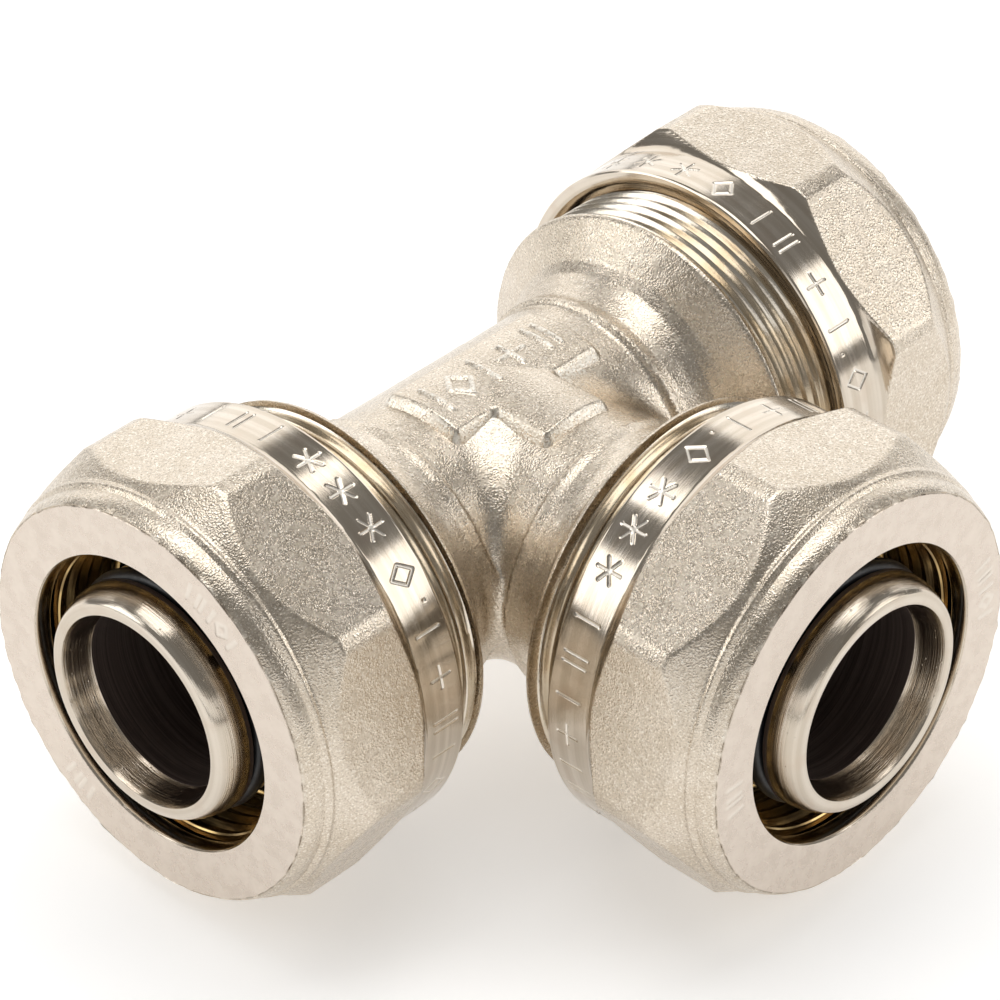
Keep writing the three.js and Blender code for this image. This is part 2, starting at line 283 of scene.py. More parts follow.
def flank(part):
    """Height of a thread's flank, 0 in the valley and 1 on the crest, with small flats on both."""
    slope = (0.5 - abs(part - 0.5)) * 2
    return min(max(slope * 1.3 - 0.15, 0.0), 1.0)


# --- marks ------------------------------------------------------------------------------------


def spoke(degrees):
    """A stroke right across a mark of half size 1."""
    x, y = math.cos(math.radians(degrees)), math.sin(math.radians(degrees))
    return -x, -y, x, y


# Generic marks as strokes (u0, v0, u1, v1), for a mark of half size 1
STROKES = {
    "star": [spoke(90), spoke(30), spoke(150)],
    "plus": [(-0.85, 0, 0.85, 0), (0, -0.85, 0, 0.85)],
    "bar": [(0, -1, 0, 1)],
    "twin": [(-0.35, -1, -0.35, 1), (0.35, -1, 0.35, 1)],
    "lozenge": [(0, -1, 0.8, 0), (0.8, 0, 0, 1), (0, 1, -0.8, 0), (-0.8, 0, 0, -1)],
    "dot": [(0, -0.7, 0, -0.7)],
}


def mark_field(u, v, marks, period, half_width, soft):
    """1 on the strokes of the marks and 0 off them. u runs round with the period, v across.

    A mark is (kind, u, v, size). A stroke fades over the soft width beyond its half width.
    """
    field = np.zeros(np.broadcast(u, v).shape)
    for kind, place, across, size in marks:
        du = (u - place + period / 2) % period - period / 2
        dv = v - across
        near = (np.abs(du) < size) & (np.abs(dv) < size)
        if not near.any():
            continue
        x, y = np.broadcast_arrays(du, dv)
        x, y = x[near], y[near]
        best = np.full(x.shape, np.inf)
        for stroke in STROKES[kind]:
            x0, y0, x1, y1 = (size / 2 * value for value in stroke)
            along = (x1 - x0) ** 2 + (y1 - y0) ** 2
            t = np.clip(((x - x0) * (x1 - x0) + (y - y0) * (y1 - y0)) / max(along, 1e-9), 0, 1)
            best = np.minimum(best, np.hypot(x - x0 - t * (x1 - x0), y - y0 - t * (y1 - y0)))
        value = np.clip((half_width + soft - best) / soft, 0, 1)
        field[near] = np.maximum(field[near], value * value * (3 - 2 * value))
    return field


# --- materials --------------------------------------------------------------------------------


class Paint:
    """A node material with one Principled shader, and short ways to add what feeds it."""

    def __init__(self, name, **values):
        self.material = bpy.data.materials.new(name)
        self.material.use_nodes = True
        self.tree = self.material.node_tree
        self.shader = self.tree.nodes["Principled BSDF"]
        for key, value in values.items():
            self.shader.inputs[key.replace("_", " ")].default_value = value

    def node(self, kind, inputs=None, **settings):
        made = self.tree.nodes.new("ShaderNode" + kind)
        for key, value in settings.items():
            setattr(made, key, value)
        for key, value in (inputs or {}).items():
            self.put(made.inputs[key], value)
        return made

    def put(self, socket, value):
        if isinstance(value, bpy.types.NodeSocket):
            self.tree.links.new(value, socket)
        else:
            socket.default_value = value

    def attribute(self, name, output="Vector"):
        return self.node("Attribute", attribute_name=name).outputs[output]

    def math(self, operation, a, b):
        return self.node("Math", {0: a, 1: b}, operation=operation).outputs[0]

    def noise(self, vector, scale, detail, roughness):
        inputs = {"Vector": vector, "Scale": scale, "Detail": detail, "Roughness": roughness}
        return self.node("TexNoise", inputs).outputs["Fac"]

    def cells(self, vector, scale):
        return self.node("TexVoronoi", {"Vector": vector, "Scale": scale}).outputs["Distance"]

    def ramp(self, value, low, high, to_low=0.0, to_high=1.0):
        """Takes low to to_low and high to to_high, smoothly and with nothing beyond them."""
        inputs = {"Value": value, "From Min": low, "From Max": high, "To Min": to_low, "To Max": to_high}
        return self.node("MapRange", inputs, interpolation_type="SMOOTHSTEP").outputs[0]

    def mix(self, factor, a, b):
        """A mix of two colours."""
        made = self.node("Mix", data_type="RGBA")
        self.put(made.inputs[0], factor)
        for socket, value in ((made.inputs[6], a), (made.inputs[7], b)):
            self.put(socket, value if isinstance(value, bpy.types.NodeSocket) else (*value, 1.0))
        return made.outputs[2]

    def blend(self, factor, a, b):
        """A mix of two numbers."""
        return self.node("Mix", {0: factor, 2: a, 3: b}, data_type="FLOAT").outputs[0]

    def rings(self, own, across=0.02):
        """Coordinates that change along the axis and radius, and hardly round it, for lathe marks."""
        split = self.node("SeparateXYZ", {0: own})
        flat = self.node("CombineXYZ", {0: split.outputs[0], 1: split.outputs[1]})
        radius = self.node("VectorMath", {0: flat.outputs[0]}, operation="LENGTH").outputs["Value"]
        slow = self.math("MULTIPLY", split.outputs[0], across)
        return self.node("CombineXYZ", {0: radius, 1: split.outputs[2], 2: slow}).outputs[0]

    def finish(self, colour, roughness, *bumps):
        """Links the colour, the roughness and a chain of bumps, each (height, strength, mm)."""
        self.put(self.shader.inputs["Base Color"], colour)
        self.put(self.shader.inputs["Roughness"], roughness)
        normal = None
        for height, strength, distance in bumps:
            inputs = {"Strength": strength, "Distance": distance * MM, "Height": height}
            if normal is not None:
                inputs["Normal"] = normal
            normal = self.node("Bump", inputs).outputs[0]
        if normal is not None:
            self.put(self.shader.inputs["Normal"], normal)
        return self.material


CHAMPAGNE = (0.57, 0.485, 0.375)
PALE = (0.70, 0.62, 0.52)
# painted shade for the grain's pits; GLINT is a painted highlight for its peaks
PAINTED_PIT_SHADE = (0.22, 0.16, 0.10)
GLINT = (0.92, 0.86, 0.76)
SPECK_BROWN = (0.36, 0.22, 0.12)
TURNED_LOW, TURNED_HIGH = (0.56, 0.49, 0.40), (0.67, 0.60, 0.51)
TURNED_CLOUD = (0.55, 0.44, 0.34)
FACE_LOW, FACE_HIGH = (0.64, 0.555, 0.475), (0.72, 0.635, 0.55)
# darker colour for the seam round the nut's face
SEAM_DARK = (0.16, 0.12, 0.08)
# pale wear on the forging's raised marks, also a painted highlight on the pad's side walls; WORN_CUT is
# worn engraving
PALE_WEAR_AND_HIGHLIGHT, WORN_CUT = (0.93, 0.89, 0.81), (0.86, 0.81, 0.73)
THREAD_PALE, THREAD_WORN = (0.82, 0.76, 0.66), (0.66, 0.55, 0.40)
# painted shade for the bores and for the spigots inside the nuts
PAINTED_SHADE_LOW, PAINTED_SHADE_HIGH = (0.11, 0.08, 0.07), (0.20, 0.155, 0.135)
BRASS_LOW, BRASS_HIGH, TARNISH = (0.54, 0.37, 0.15), (0.74, 0.54, 0.25), (0.20, 0.13, 0.06)
RUBBER_BLACK, RUBBER_DUST = (0.010, 0.010, 0.012), (0.035, 0.034, 0.036)
PTFE_WHITE, PTFE_STAIN = (0.82, 0.81, 0.77), (0.70, 0.67, 0.60)
FLOOR_WHITE = (0.90, 0.90, 0.90)

GRAIN_DEPTH = 0.062
MARK_MIX = 0.85


def grain(paint, own):
    """Shot-blasted forging skin: its height, its colour with painted shade in the pits and painted
    glints on the peaks, and its roughness.
    """
    fine = paint.noise(own, 4.8, 1.5, 0.55)
    dimples = paint.cells(own, 5.2)
    height = paint.math("ADD", fine, paint.math("MULTIPLY", dimples, 0.15))
    tone = paint.ramp(paint.noise(own, 0.2, 3.0, 0.5), 0.3, 0.75, 0.4, 0.85)
    colour = paint.mix(tone, CHAMPAGNE, PALE)
    # Painted shade darkens the pits and a painted highlight lights the peaks, so the grain shows under
    # any light.
    pit_shade = paint.ramp(fine, 0.30, 0.46, 0.35, 0.0)
    colour = paint.mix(pit_shade, colour, PAINTED_PIT_SHADE)
    peak_glint = paint.ramp(fine, 0.56, 0.66, 0.0, 0.6)
    colour = paint.mix(peak_glint, colour, GLINT)
    specks = paint.ramp(paint.noise(own, 1.3, 4.0, 0.7), 0.74, 0.80, 0.0, 0.5)
    colour = paint.mix(specks, colour, SPECK_BROWN)
    roughness = paint.ramp(paint.noise(own, 0.9, 3.0, 0.6), 0.3, 0.7, 0.22, 0.30)
    return height, colour, roughness


def turning(paint, own):
    """Turned and plated skin: its height, its colour and its roughness."""
    rings = paint.rings(own)
    lines = paint.noise(rings, 8.0, 3.0, 0.65)
    wide = paint.noise(rings, 1.3, 2.0, 0.5)
    colour = paint.mix(paint.ramp(wide, 0.35, 0.7), TURNED_LOW, TURNED_HIGH)
    cloud = paint.ramp(paint.noise(own, 0.3, 4.0, 0.6), 0.45, 0.75, 0.0, 0.4)
    colour = paint.mix(cloud, colour, TURNED_CLOUD)
    roughness = paint.ramp(lines, 0.3, 0.7, 0.09, 0.17)
    return lines, colour, roughness


def make_forging():
    paint = Paint("forged_nickel_skin", Metallic=1.0)
    own = paint.attribute("own")
    height, colour, roughness = grain(paint, own)
    # The mark attribute pales the worn raised marks and paints a highlight on the pad's side walls.
    broken = paint.ramp(paint.noise(own, 3.2, 3.0, 0.7), 0.40, 0.60, 0.0, 1.0)
    mark = paint.math("MULTIPLY", paint.attribute("mark", "Fac"), broken)
    colour = paint.mix(paint.math("MULTIPLY", mark, MARK_MIX), colour, PALE_WEAR_AND_HIGHLIGHT)
    roughness = paint.math("ADD", roughness, paint.math("MULTIPLY", mark, 0.12))
    dents = paint.noise(own, 0.5, 3.0, 0.5)
    return paint.finish(colour, roughness, (dents, 0.15, 0.3), (height, 1.0, GRAIN_DEPTH))


def make_nut():
    """Grain on the flats, satin on the face and turned skin where finish is 1, as the attributes say."""
    paint = Paint("nut_nickel_skin", Metallic=1.0)
    own = paint.attribute("own")
    names = ("finish", "mark", "satin", "dirt")
    finish, mark, satin, dirt = (paint.attribute(name, "Fac") for name in names)
    grain_height, grain_colour, grain_roughness = grain(paint, own)
    lines, turned_colour, turned_roughness = turning(paint, own)
    face_tone = paint.ramp(paint.noise(own, 0.5, 4.0, 0.6), 0.3, 0.7)
    face_colour = paint.mix(face_tone, FACE_LOW, FACE_HIGH)
    colour = paint.mix(satin, grain_colour, face_colour)
    colour = paint.mix(finish, colour, turned_colour)
    colour = paint.mix(paint.math("MULTIPLY", mark, MARK_MIX), colour, WORN_CUT)
    # darker in the seam
    colour = paint.mix(dirt, colour, SEAM_DARK)
    roughness = paint.blend(satin, grain_roughness, paint.ramp(face_tone, 0.0, 1.0, 0.24, 0.34))
    roughness = paint.blend(finish, roughness, turned_roughness)
    roughness = paint.math("ADD", roughness, paint.math("MULTIPLY", mark, 0.22))
    smooth_part = paint.math("MAXIMUM", finish, paint.math("MULTIPLY", satin, 0.85))
    rough_part = paint.math("SUBTRACT", 1.0, smooth_part)
    height = paint.math("MULTIPLY", grain_height, rough_part)
    turned = paint.math("MULTIPLY", lines, finish)
    return paint.finish(colour, roughness, (turned, 0.2, 0.02), (height, 1.0, GRAIN_DEPTH))


def make_turned():
    paint = Paint("turned_nickel_skin", Metallic=1.0)
    own = paint.attribute("own")
    lines, colour, roughness = turning(paint, own)
    beads = paint.ramp(paint.cells(own, 1.1), 0.05, 0.16, 1.0, 0.0)
    return paint.finish(colour, roughness, (beads, 0.35, 0.04), (lines, 0.45, 0.05))


def make_thread():
    paint = Paint("thread_nickel_skin", Metallic=1.0)
    own = paint.attribute("own")
    lines, colour, roughness = turning(paint, own)
    worn = paint.ramp(paint.noise(own, 0.25, 3.0, 0.55), 0.4, 0.7, 0.0, 0.6)
    colour = paint.mix(0.6, colour, THREAD_PALE)
    colour = paint.mix(worn, colour, THREAD_WORN)
    nicks = paint.noise(own, 2.5, 3.0, 0.6)
    roughness = paint.math("ADD", roughness, 0.02)
    return paint.finish(colour, roughness, (nicks, 0.15, 0.06), (lines, 0.3, 0.03))


# A near-black skin that paints the shade in the bores and on the spigots inside the nuts.
def make_painted_shade():
    paint = Paint("painted_shade_nickel_skin", Metallic=0.75)
    own = paint.attribute("own")
    rings = paint.rings(own)
    lines = paint.noise(rings, 5.0, 3.0, 0.6)
    colour = paint.mix(paint.ramp(lines, 0.3, 0.7), PAINTED_SHADE_LOW, PAINTED_SHADE_HIGH)
    roughness = paint.ramp(lines, 0.3, 0.7, 0.30, 0.42)
    return paint.finish(colour, roughness, (lines, 0.4, 0.08))


def make_brass():
    paint = Paint("brass_skin", Metallic=1.0)
    own = paint.attribute("own")
    lines = paint.noise(paint.rings(own, 0.004), 5.0, 3.0, 0.6)
    tarnish = paint.ramp(paint.noise(own, 0.3, 3.0, 0.5), 0.40, 0.65, 0.2, 0.8)
    colour = paint.mix(paint.ramp(lines, 0.3, 0.7), BRASS_LOW, BRASS_HIGH)
    colour = paint.mix(tarnish, colour, TARNISH)
    roughness = paint.ramp(lines, 0.3, 0.7, 0.13, 0.22)
    return paint.finish(colour, roughness, (lines, 0.25, 0.03))


def make_rubber():
    paint = Paint("rubber_skin")
    own = paint.attribute("own")
    dust = paint.ramp(paint.noise(own, 1.5, 4.0, 0.7), 0.5, 0.8, 0.0, 0.35)
    colour = paint.mix(dust, RUBBER_BLACK, RUBBER_DUST)
    roughness = paint.ramp(paint.noise(own, 3.0, 3.0, 0.6), 0.3, 0.7, 0.30, 0.48)
    return paint.finish(colour, roughness, (paint.noise(own, 6.0, 2.0, 0.5), 0.3, 0.04))


def make_ptfe():
    paint = Paint("ptfe_skin")
    own = paint.attribute("own")
    lines = paint.noise(paint.rings(own), 6.0, 3.0, 0.6)
    stain = paint.ramp(paint.noise(own, 0.4, 4.0, 0.6), 0.45, 0.8, 0.0, 0.5)
    colour = paint.mix(stain, PTFE_WHITE, PTFE_STAIN)
    roughness = paint.ramp(lines, 0.3, 0.7, 0.38, 0.52)
    return paint.finish(colour, roughness, (lines, 0.3, 0.05))


FORGING, NUT, TURNED, THREAD = make_forging(), make_nut(), make_turned(), make_thread()
PAINTED_SHADE_SKIN, BRASS, RUBBER, PTFE = make_painted_shade(), make_brass(), make_rubber(), make_ptfe()

# --- forged body ------------------------------------------------------------------------------

FORGING_VOXEL = 0.3
FORGING_COLUMNS, BORE_COLUMNS = 96, 144
FORGING_DENT = (0.03, 1.3)      # depth and size
CROTCH_BLEND = 2.2
AXIS_START = -30.0              # where the outlines of distance fields start, well behind the solid
PAD = {"left": -10.3, "right": 11.4, "half": 5.3, "tongue": 4.75, "end": -12.5, "corner": 0.9}
PAD_TOP = 15.6                  # radius of the pad's upper side
PAD_FOOT, PAD_UNDERSIDE = 14.1, 8.6
PAD_BLEND = 1.5
PAD_GRID, PAD_MARGIN = 0.14, 0.8
PAD_MARK_HEIGHT = 0.22
PAD_STROKE = (0.15, 0.30)
PAD_MARKS = [
    ("bar", -7.8, 0.0, 4.6), ("lozenge", -4.3, 0.0, 3.8), ("bar", -0.8, 0.0, 4.6),
    ("plus", 3.2, 0.0, 4.2), ("twin", 7.8, 0.0, 4.2),
]
NO_REPEAT = 1000.0              # period of marks that don't go round


def profile_distance(radius, height, profile):
    """Signed distance to a turned solid whose outline is the profile, closed along the axis."""
    path = [(0.0, AXIS_START), (profile[0][0], AXIS_START), *profile, (0.0, profile[-1][1])]
    best = np.full(radius.shape, np.inf)
    inside = np.zeros(radius.shape, bool)
    for (r0, z0), (r1, z1) in zip(path, path[1:]):
        dr, dz = r1 - r0, z1 - z0
        along = dr * dr + dz * dz
        t = np.clip(((radius - r0) * dr + (height - z0) * dz) / along, 0, 1)
        best = np.minimum(best, (radius - r0 - t * dr) ** 2 + (height - z0 - t * dz) ** 2)
        crosses = (z0 > height) != (z1 > height)
        if dz != 0:
            inside ^= crosses & (radius < dr * (height - z0) / dz + r0)
    return np.where(inside, -1, 1) * np.sqrt(best)


def smooth_min(a, b, k):
    """The smaller of two distances, rounded where they differ by less than k."""
    h = np.maximum(k - np.abs(a - b), 0) / k
    return np.minimum(a, b) - h * h * k / 4


def port_parts(points, port):
    """Radius from the port's axis and height along it, of points in the tee frame."""
    axis = np.array(port["axis"])
    height = points @ axis
    radius = np.linalg.norm(points - height[:, None] * axis, axis=1)
    return radius, height


def barrel_outline(port):
    """Outline of the barrel and collar, from the crossing outwards."""
    outline = [(BARREL_RADIUS, BARREL_START)]
    outline += [(radius, z + port["extra"]) for radius, z in BARREL_PROFILE]
    return outline + [(COLLAR_RADIUS, COLLAR_END + port["extra"] + FORGING_OVERRUN)]


def forging_distance(points):
    """Signed distance to the three barrels, with a fillet where the branch meets the run."""
    distances = []
    for port in PORTS:
        radius, height = port_parts(points, port)
        distance = profile_distance(radius, np.maximum(height, BARREL_START), barrel_outline(port))
        behind = np.maximum(BARREL_START - height, 0)
        distances.append(np.where(behind > 0, np.hypot(np.maximum(distance, 0), behind), distance))
    left, branch, right = distances
    return smooth_min(np.minimum(left, right), branch, CROTCH_BLEND)


def project(points, distance):
    """Moves points onto the surface where the distance is zero."""
    step = 0.02
    for _ in range(6):
        value = distance(points)
        gradient = np.stack([
            (distance(points + step * axis) - distance(points - step * axis)) / (2 * step)
            for axis in np.eye(3)], 1)
        size = np.maximum((gradient ** 2).sum(1), 0.05)
        points = points - np.clip(value / size, -0.5, 0.5)[:, None] * gradient
    return points


def mesh_arrays(mesh):
    points = np.empty(len(mesh.vertices) * 3)
    mesh.vertices.foreach_get("co", points)
    return points.reshape(-1, 3)


def applied(obj):
    """The mesh of an object with its modifiers applied, and the object removed."""
    graph = bpy.context.evaluated_depsgraph_get()
    mesh = bpy.data.meshes.new_from_object(obj.evaluated_get(graph), depsgraph=graph)
    bpy.data.objects.remove(obj)
    return mesh


def scratch(name, mesh):
    """An object that only lasts until its modifiers are applied."""
    obj = bpy.data.objects.new(name, mesh)
    bpy.context.scene.collection.objects.link(obj)
    return obj


def turned_mesh(name, profile, columns, matrix):
    """A plain turned solid from (radius, height) points that start and end on the axis."""
    shape = bmesh.new()
    rows = []
    for radius, height in profile:
        row = []
        for i in range(columns if radius > TINY else 1):
            angle = TURN * i / columns
            point = Vector((radius * math.cos(angle), radius * math.sin(angle), height))
            row.append(shape.verts.new(matrix @ point))
        rows.append(row)
    for a, b in zip(rows, rows[1:]):
        for i in range(columns):
            j = (i + 1) % columns
            corners = [a[i % len(a)], a[j % len(a)], b[j % len(b)], b[i % len(b)]]
            face = [v for k, v in enumerate(corners) if v is not corners[k - 1]]
            if len(face) > 2:
                shape.faces.new(face)
    bmesh.ops.recalc_face_normals(shape, faces=shape.faces)
    mesh = bpy.data.meshes.new(name)
    shape.to_mesh(mesh)
    shape.free()
    return mesh


def combine(base, others, operation):
    """Boolean of a mesh with others, as a new mesh. The operation is UNION or DIFFERENCE."""
    obj = scratch("boolean_base", base)
    tools = []
    for mesh in others:
        tool = scratch("boolean_tool", mesh)
        tools.append(tool)
        modifier = obj.modifiers.new("boolean", "BOOLEAN")
        modifier.operation = operation
        modifier.solver = "MANIFOLD"
        modifier.object = tool
    mesh = applied(obj)
    for tool in tools:
        bpy.data.objects.remove(tool)
    return mesh


def forged_blank():
    """The three barrels and collars as one soft solid, without bores."""
    solids = []
    for port in PORTS:
        outline = barrel_outline(port)
        outline = [(0, BARREL_START), *outline, (0, outline[-1][1])]
        solids.append(turned_mesh("barrel", outline, FORGING_COLUMNS, tee_matrix(port)))
    obj = scratch("forging_blank", combine(solids[0], solids[1:], "UNION"))
    remesh = obj.modifiers.new("remesh", "REMESH")
    remesh.mode = "VOXEL"
    remesh.voxel_size = FORGING_VOXEL
    mesh = applied(obj)
    points = project(mesh_arrays(mesh), forging_distance)
    mesh.vertices.foreach_set("co", points.ravel())
    return mesh


def pad_outline_distance(x, y):
    """Signed distance to the T-shaped outline of the pad, seen from above."""

    corner = PAD["corner"]

    def rounded_box(cx, cy, hx, hy):
        dx = np.abs(x - cx) - (hx - corner)
        dy = np.abs(y - cy) - (hy - corner)
        outside = np.hypot(np.maximum(dx, 0), np.maximum(dy, 0))
        return outside + np.minimum(np.maximum(dx, dy), 0) - corner

    bar = rounded_box((PAD["left"] + PAD["right"]) / 2, 0, (PAD["right"] - PAD["left"]) / 2, PAD["half"])
    tongue = rounded_box(0, PAD["end"] / 2, PAD["tongue"], -PAD["end"] / 2)
    return smooth_min(bar, tongue, 0.8)


def barrel_top(x, y, radius):
    """Height of the upper side of a tee of plain barrels of this radius."""
    run = np.sqrt(np.maximum(radius ** 2 - y ** 2, 0))
    branch = np.where(y < 0, np.sqrt(np.maximum(radius ** 2 - x ** 2, 0)), 0)
    return np.maximum(run, branch)


def pad_marks(x, y):
    return mark_field(x, y, PAD_MARKS, NO_REPEAT, *PAD_STROKE)


def pad_mesh():
    """The raised pad with its generic raised marks, as a closed height field."""
    xs = np.arange(PAD["left"] - PAD_MARGIN, PAD["right"] + PAD_MARGIN + PAD_GRID, PAD_GRID)
    ys = np.arange(PAD["end"] - PAD_MARGIN, PAD["half"] + PAD_MARGIN + PAD_GRID, PAD_GRID)
    x, y = np.meshgrid(xs, ys, indexing="ij")
    outline = pad_outline_distance(x, y)
    rise = np.clip(0.5 - outline / PAD_BLEND, 0, 1)
    rise = 0.5 * rise + 0.5 * rise * rise * (3 - 2 * rise)
    low = barrel_top(x, y, PAD_FOOT) - 0.3
    high = barrel_top(x, y, PAD_TOP)
    z = low + (high - low) * rise + PAD_MARK_HEIGHT * pad_marks(x, y) * (outline < -0.6)
    rows, columns = x.shape
    top = np.stack([x, y, z], 2).reshape(-1, 3)
    bottom = np.stack([x, y, np.full_like(x, PAD_UNDERSIDE)], 2).reshape(-1, 3)
    points = np.vstack([top, bottom])
    grid = np.arange(rows * columns).reshape(rows, columns)
    under = grid + rows * columns
    faces = []
    for i in range(rows - 1):
        for j in range(columns - 1):
            faces.append([grid[i, j], grid[i + 1, j], grid[i + 1, j + 1], grid[i, j + 1]])
            faces.append([under[i, j], under[i, j + 1], under[i + 1, j + 1], under[i + 1, j]])
    rim = [(i, 0) for i in range(rows)] + [(rows - 1, j) for j in range(1, columns)]
    rim += [(i, columns - 1) for i in range(rows - 2, -1, -1)]
    rim += [(0, j) for j in range(columns - 2, 0, -1)]
    for here, ahead in zip(rim, rim[1:] + rim[:1]):
        faces.append([grid[ahead], grid[here], under[here], under[ahead]])
    faces = [[int(corner) for corner in face] for face in faces]
    mesh = bpy.data.meshes.new("pad")
    mesh.from_pydata(points.tolist(), [], faces)
    return mesh


def roughen(points, normals, amount, size):
    """Small uneven dents along the normals."""
    offsets = np.array([noise.noise(Vector(p) / size) for p in points])
    return points + normals * (offsets * amount)[:, None]


def vertex_normals(mesh):
    normals = np.empty(len(mesh.vertices) * 3, np.float32)
    mesh.vertex_normals.foreach_get("vector", normals)
    return normals.reshape(-1, 3)


def build_forging():
    """The forging with its pad, cut off at the collars and bored out, with the raised marks worn pale
    and a painted highlight on the pad's side walls.
    """
    blank = forged_blank()
    points = roughen(mesh_arrays(blank), vertex_normals(blank), *FORGING_DENT)
    blank.vertices.foreach_set("co", points.ravel())
    solid = combine(blank, [pad_mesh()], "UNION")
    tools = []
    for port in PORTS:
        end = COLLAR_END + port["extra"]
        matrix = tee_matrix(port)
        facing = [(0, end), (30, end), (30, end + 9), (0, end + 9)]
        drill = [(0, BARREL_START), (BORE, BARREL_START), (BORE, end + 2), (0, end + 2)]
        tools.append(turned_mesh("facing", facing, FORGING_COLUMNS, matrix))
        tools.append(turned_mesh("bore", drill, BORE_COLUMNS, matrix))
    solid = combine(solid, tools, "DIFFERENCE")
    points = mesh_arrays(solid)
    faces = [list(p.vertices) for p in solid.polygons]
    centres = np.array([p.center for p in solid.polygons])
    # Faces in the bores take the painted shade skin.
    bore = np.zeros(len(faces), int)
    for port in PORTS:
        radius, height = port_parts(centres, port)
        bore |= (radius < BORE + 0.05) & (height > BARREL_START - 0.1)
    x, y, z = points.T
    # The pad's side walls get a painted highlight; the raised marks on the pad are worn pale.
    wall = np.clip(1.6 - 2 * np.abs(pad_outline_distance(x, y)), 0, 1)
    wall = wall * (z > barrel_top(x, y, BARREL_RADIUS) + 0.1)
    raised = pad_marks(x, y) * (z > barrel_top(x, y, PAD_TOP) + 0.04)
    piece = new_piece("tee_forging", points, faces, Matrix.Translation(CENTRE) @ Matrix.Scale(MM, 4),
                      [FORGING, PAINTED_SHADE_SKIN], {"mark": np.maximum(wall, raised)}, bore, sharp=38.0)
    attach(piece, "tee", "forged_nickel", "tee_body")


def attach(piece, body, slot, *nodes):
    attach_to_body(piece, body)
    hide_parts(*nodes)


# --- threaded port with its spigot --------------------------------------------------------------

# Tags of the port's faces: 0 turned, 1 painted shade, dark as in the bore, 2 thread
PORT_COLUMNS = 288


def build_port_end(port):
    """One closed loft: up the bore, over the lip, down the spigot, up the socket, down the thread."""
    extra = port["extra"]
    loft = Loft()
    start = COLLAR_END - 0.15

    def go(outline, tag):
        loft.profile(PORT_COLUMNS, [(radius, height + extra) for radius, height in outline], tag)

    go([(BORE, start)], 0)
    # painted shade down the bore
    go([(BORE, start + k * 2.0) for k in range(1, 12)] + [(BORE, 47.2), (9.92, 47.23)], 1)
    go([(10.1, 47.9), (10.3, 48.9), (10.5, 49.9), (10.62, 50.50), (10.67, 50.58)], 0)
    go([(10.74, SPIGOT_END), (11.62, SPIGOT_END), (11.78, 50.56), (11.95, 50.45)], 0)
    go([(12.22, 50.0), (12.48, 49.4), (12.70, 48.7), (12.82, 48.2), (12.88, 47.8), (SPIGOT, 47.4)], 0)
    # painted shade on the spigot's outer cylinder, in the shadow of the nut
    for middle in ORINGS.values():
        top, bottom = middle + GROOVE_HALF, middle - GROOVE_HALF
        go([(SPIGOT, top + 0.12), (SPIGOT - 0.12, top)], 1)
        go([(GROOVE_FLOOR + 0.15, top), (GROOVE_FLOOR, top - 0.15)], 0)
        go([(GROOVE_FLOOR, bottom + 0.15), (GROOVE_FLOOR + 0.15, bottom)], 0)
        go([(SPIGOT - 0.12, bottom), (SPIGOT, bottom - 0.12)], 0)
    # painted shade on the spigot inside the nut
    go([(SPIGOT, 36.0), (SPIGOT, 32.0)], 1)
    go([(SPIGOT, SOCKET_FLOOR + 0.3), (SPIGOT + 0.3, SOCKET_FLOOR)], 0)
    go([(SLEEVE_BORE - 0.3, SOCKET_FLOOR), (SLEEVE_BORE, SOCKET_FLOOR + 0.3)], 0)
    go([(SLEEVE_BORE, 31.4), (SLEEVE_BORE + 0.1, 31.6), (18.35, 34.1), (18.45, SLEEVE_END)], 0)
    go([(19.2, SLEEVE_END), (19.3, 34.15), (MALE_ROOT, 33.3)], 0)
    loft.thread(PORT_COLUMNS, start + extra, MALE_PHASE + extra, MALE_ROOT, MALE_CREST, tag=2)
    loft.close()
    skins = [TURNED, PAINTED_SHADE_SKIN, THREAD]
    piece = loft.piece("threaded_port_" + port["name"], port_matrix(port), skins, 32.0)
    attach(piece, "tee", "forged_nickel", "tee_body")


# --- rings, washers -----------------------------------------------------------------------------


def build_oring(port, place):
    columns, sides = 144, 24
    angle = round_angles(columns)
    points, faces = [], []
    for k in range(sides):
        t = TURN * k / sides
        radius = ORING_RADIUS + ORING_SECTION * math.cos(t)
        z = np.full(columns, ORING_SECTION * math.sin(t))
        points.append(np.stack([radius * np.cos(angle), radius * np.sin(angle), z], 1))
        for i in range(columns):
            j = (i + 1) % columns
            m = (k + 1) % sides
            faces.append([k * columns + i, k * columns + j, m * columns + j, m * columns + i])
    piece = new_piece(f"seal_{place}_{port['name']}", np.concatenate(points), faces,
                      port_matrix(port, ORINGS[place] + port["extra"]), [RUBBER])
    attach(piece, "tee", "black_rubber", f"oring_{place}_{port['name']}")


def build_washer(port):
    gap, height, edge = 0.3, 2.0, 0.18
    inner, outer = SPIGOT + gap, SLEEVE_BORE - gap
    loft = Loft()
    loft.profile(144, [
        (inner, edge), (inner + edge, 0), (outer - edge, 0), (outer, edge),
        (outer, height - edge), (outer - edge, height), (inner + edge, height), (inner, height - edge),
    ])
    loft.close()
    matrix = port_matrix(port, SOCKET_FLOOR + port["extra"] + gap)
    piece = loft.piece("ptfe_washer_" + port["name"], matrix, [PTFE])
    attach(piece, "tee", "ptfe", "insulating_washer_" + port["name"])


SPLIT_BORE, SPLIT_OUTER, SPLIT_MIDDLE = 15.95, 18.9, 17.4
SPLIT_TOP, SPLIT_BOTTOM = -2.9, -11.2
SLIT_HALF_WIDTH = 1.2
RIBS, RIB_PITCH = 5, 1.6


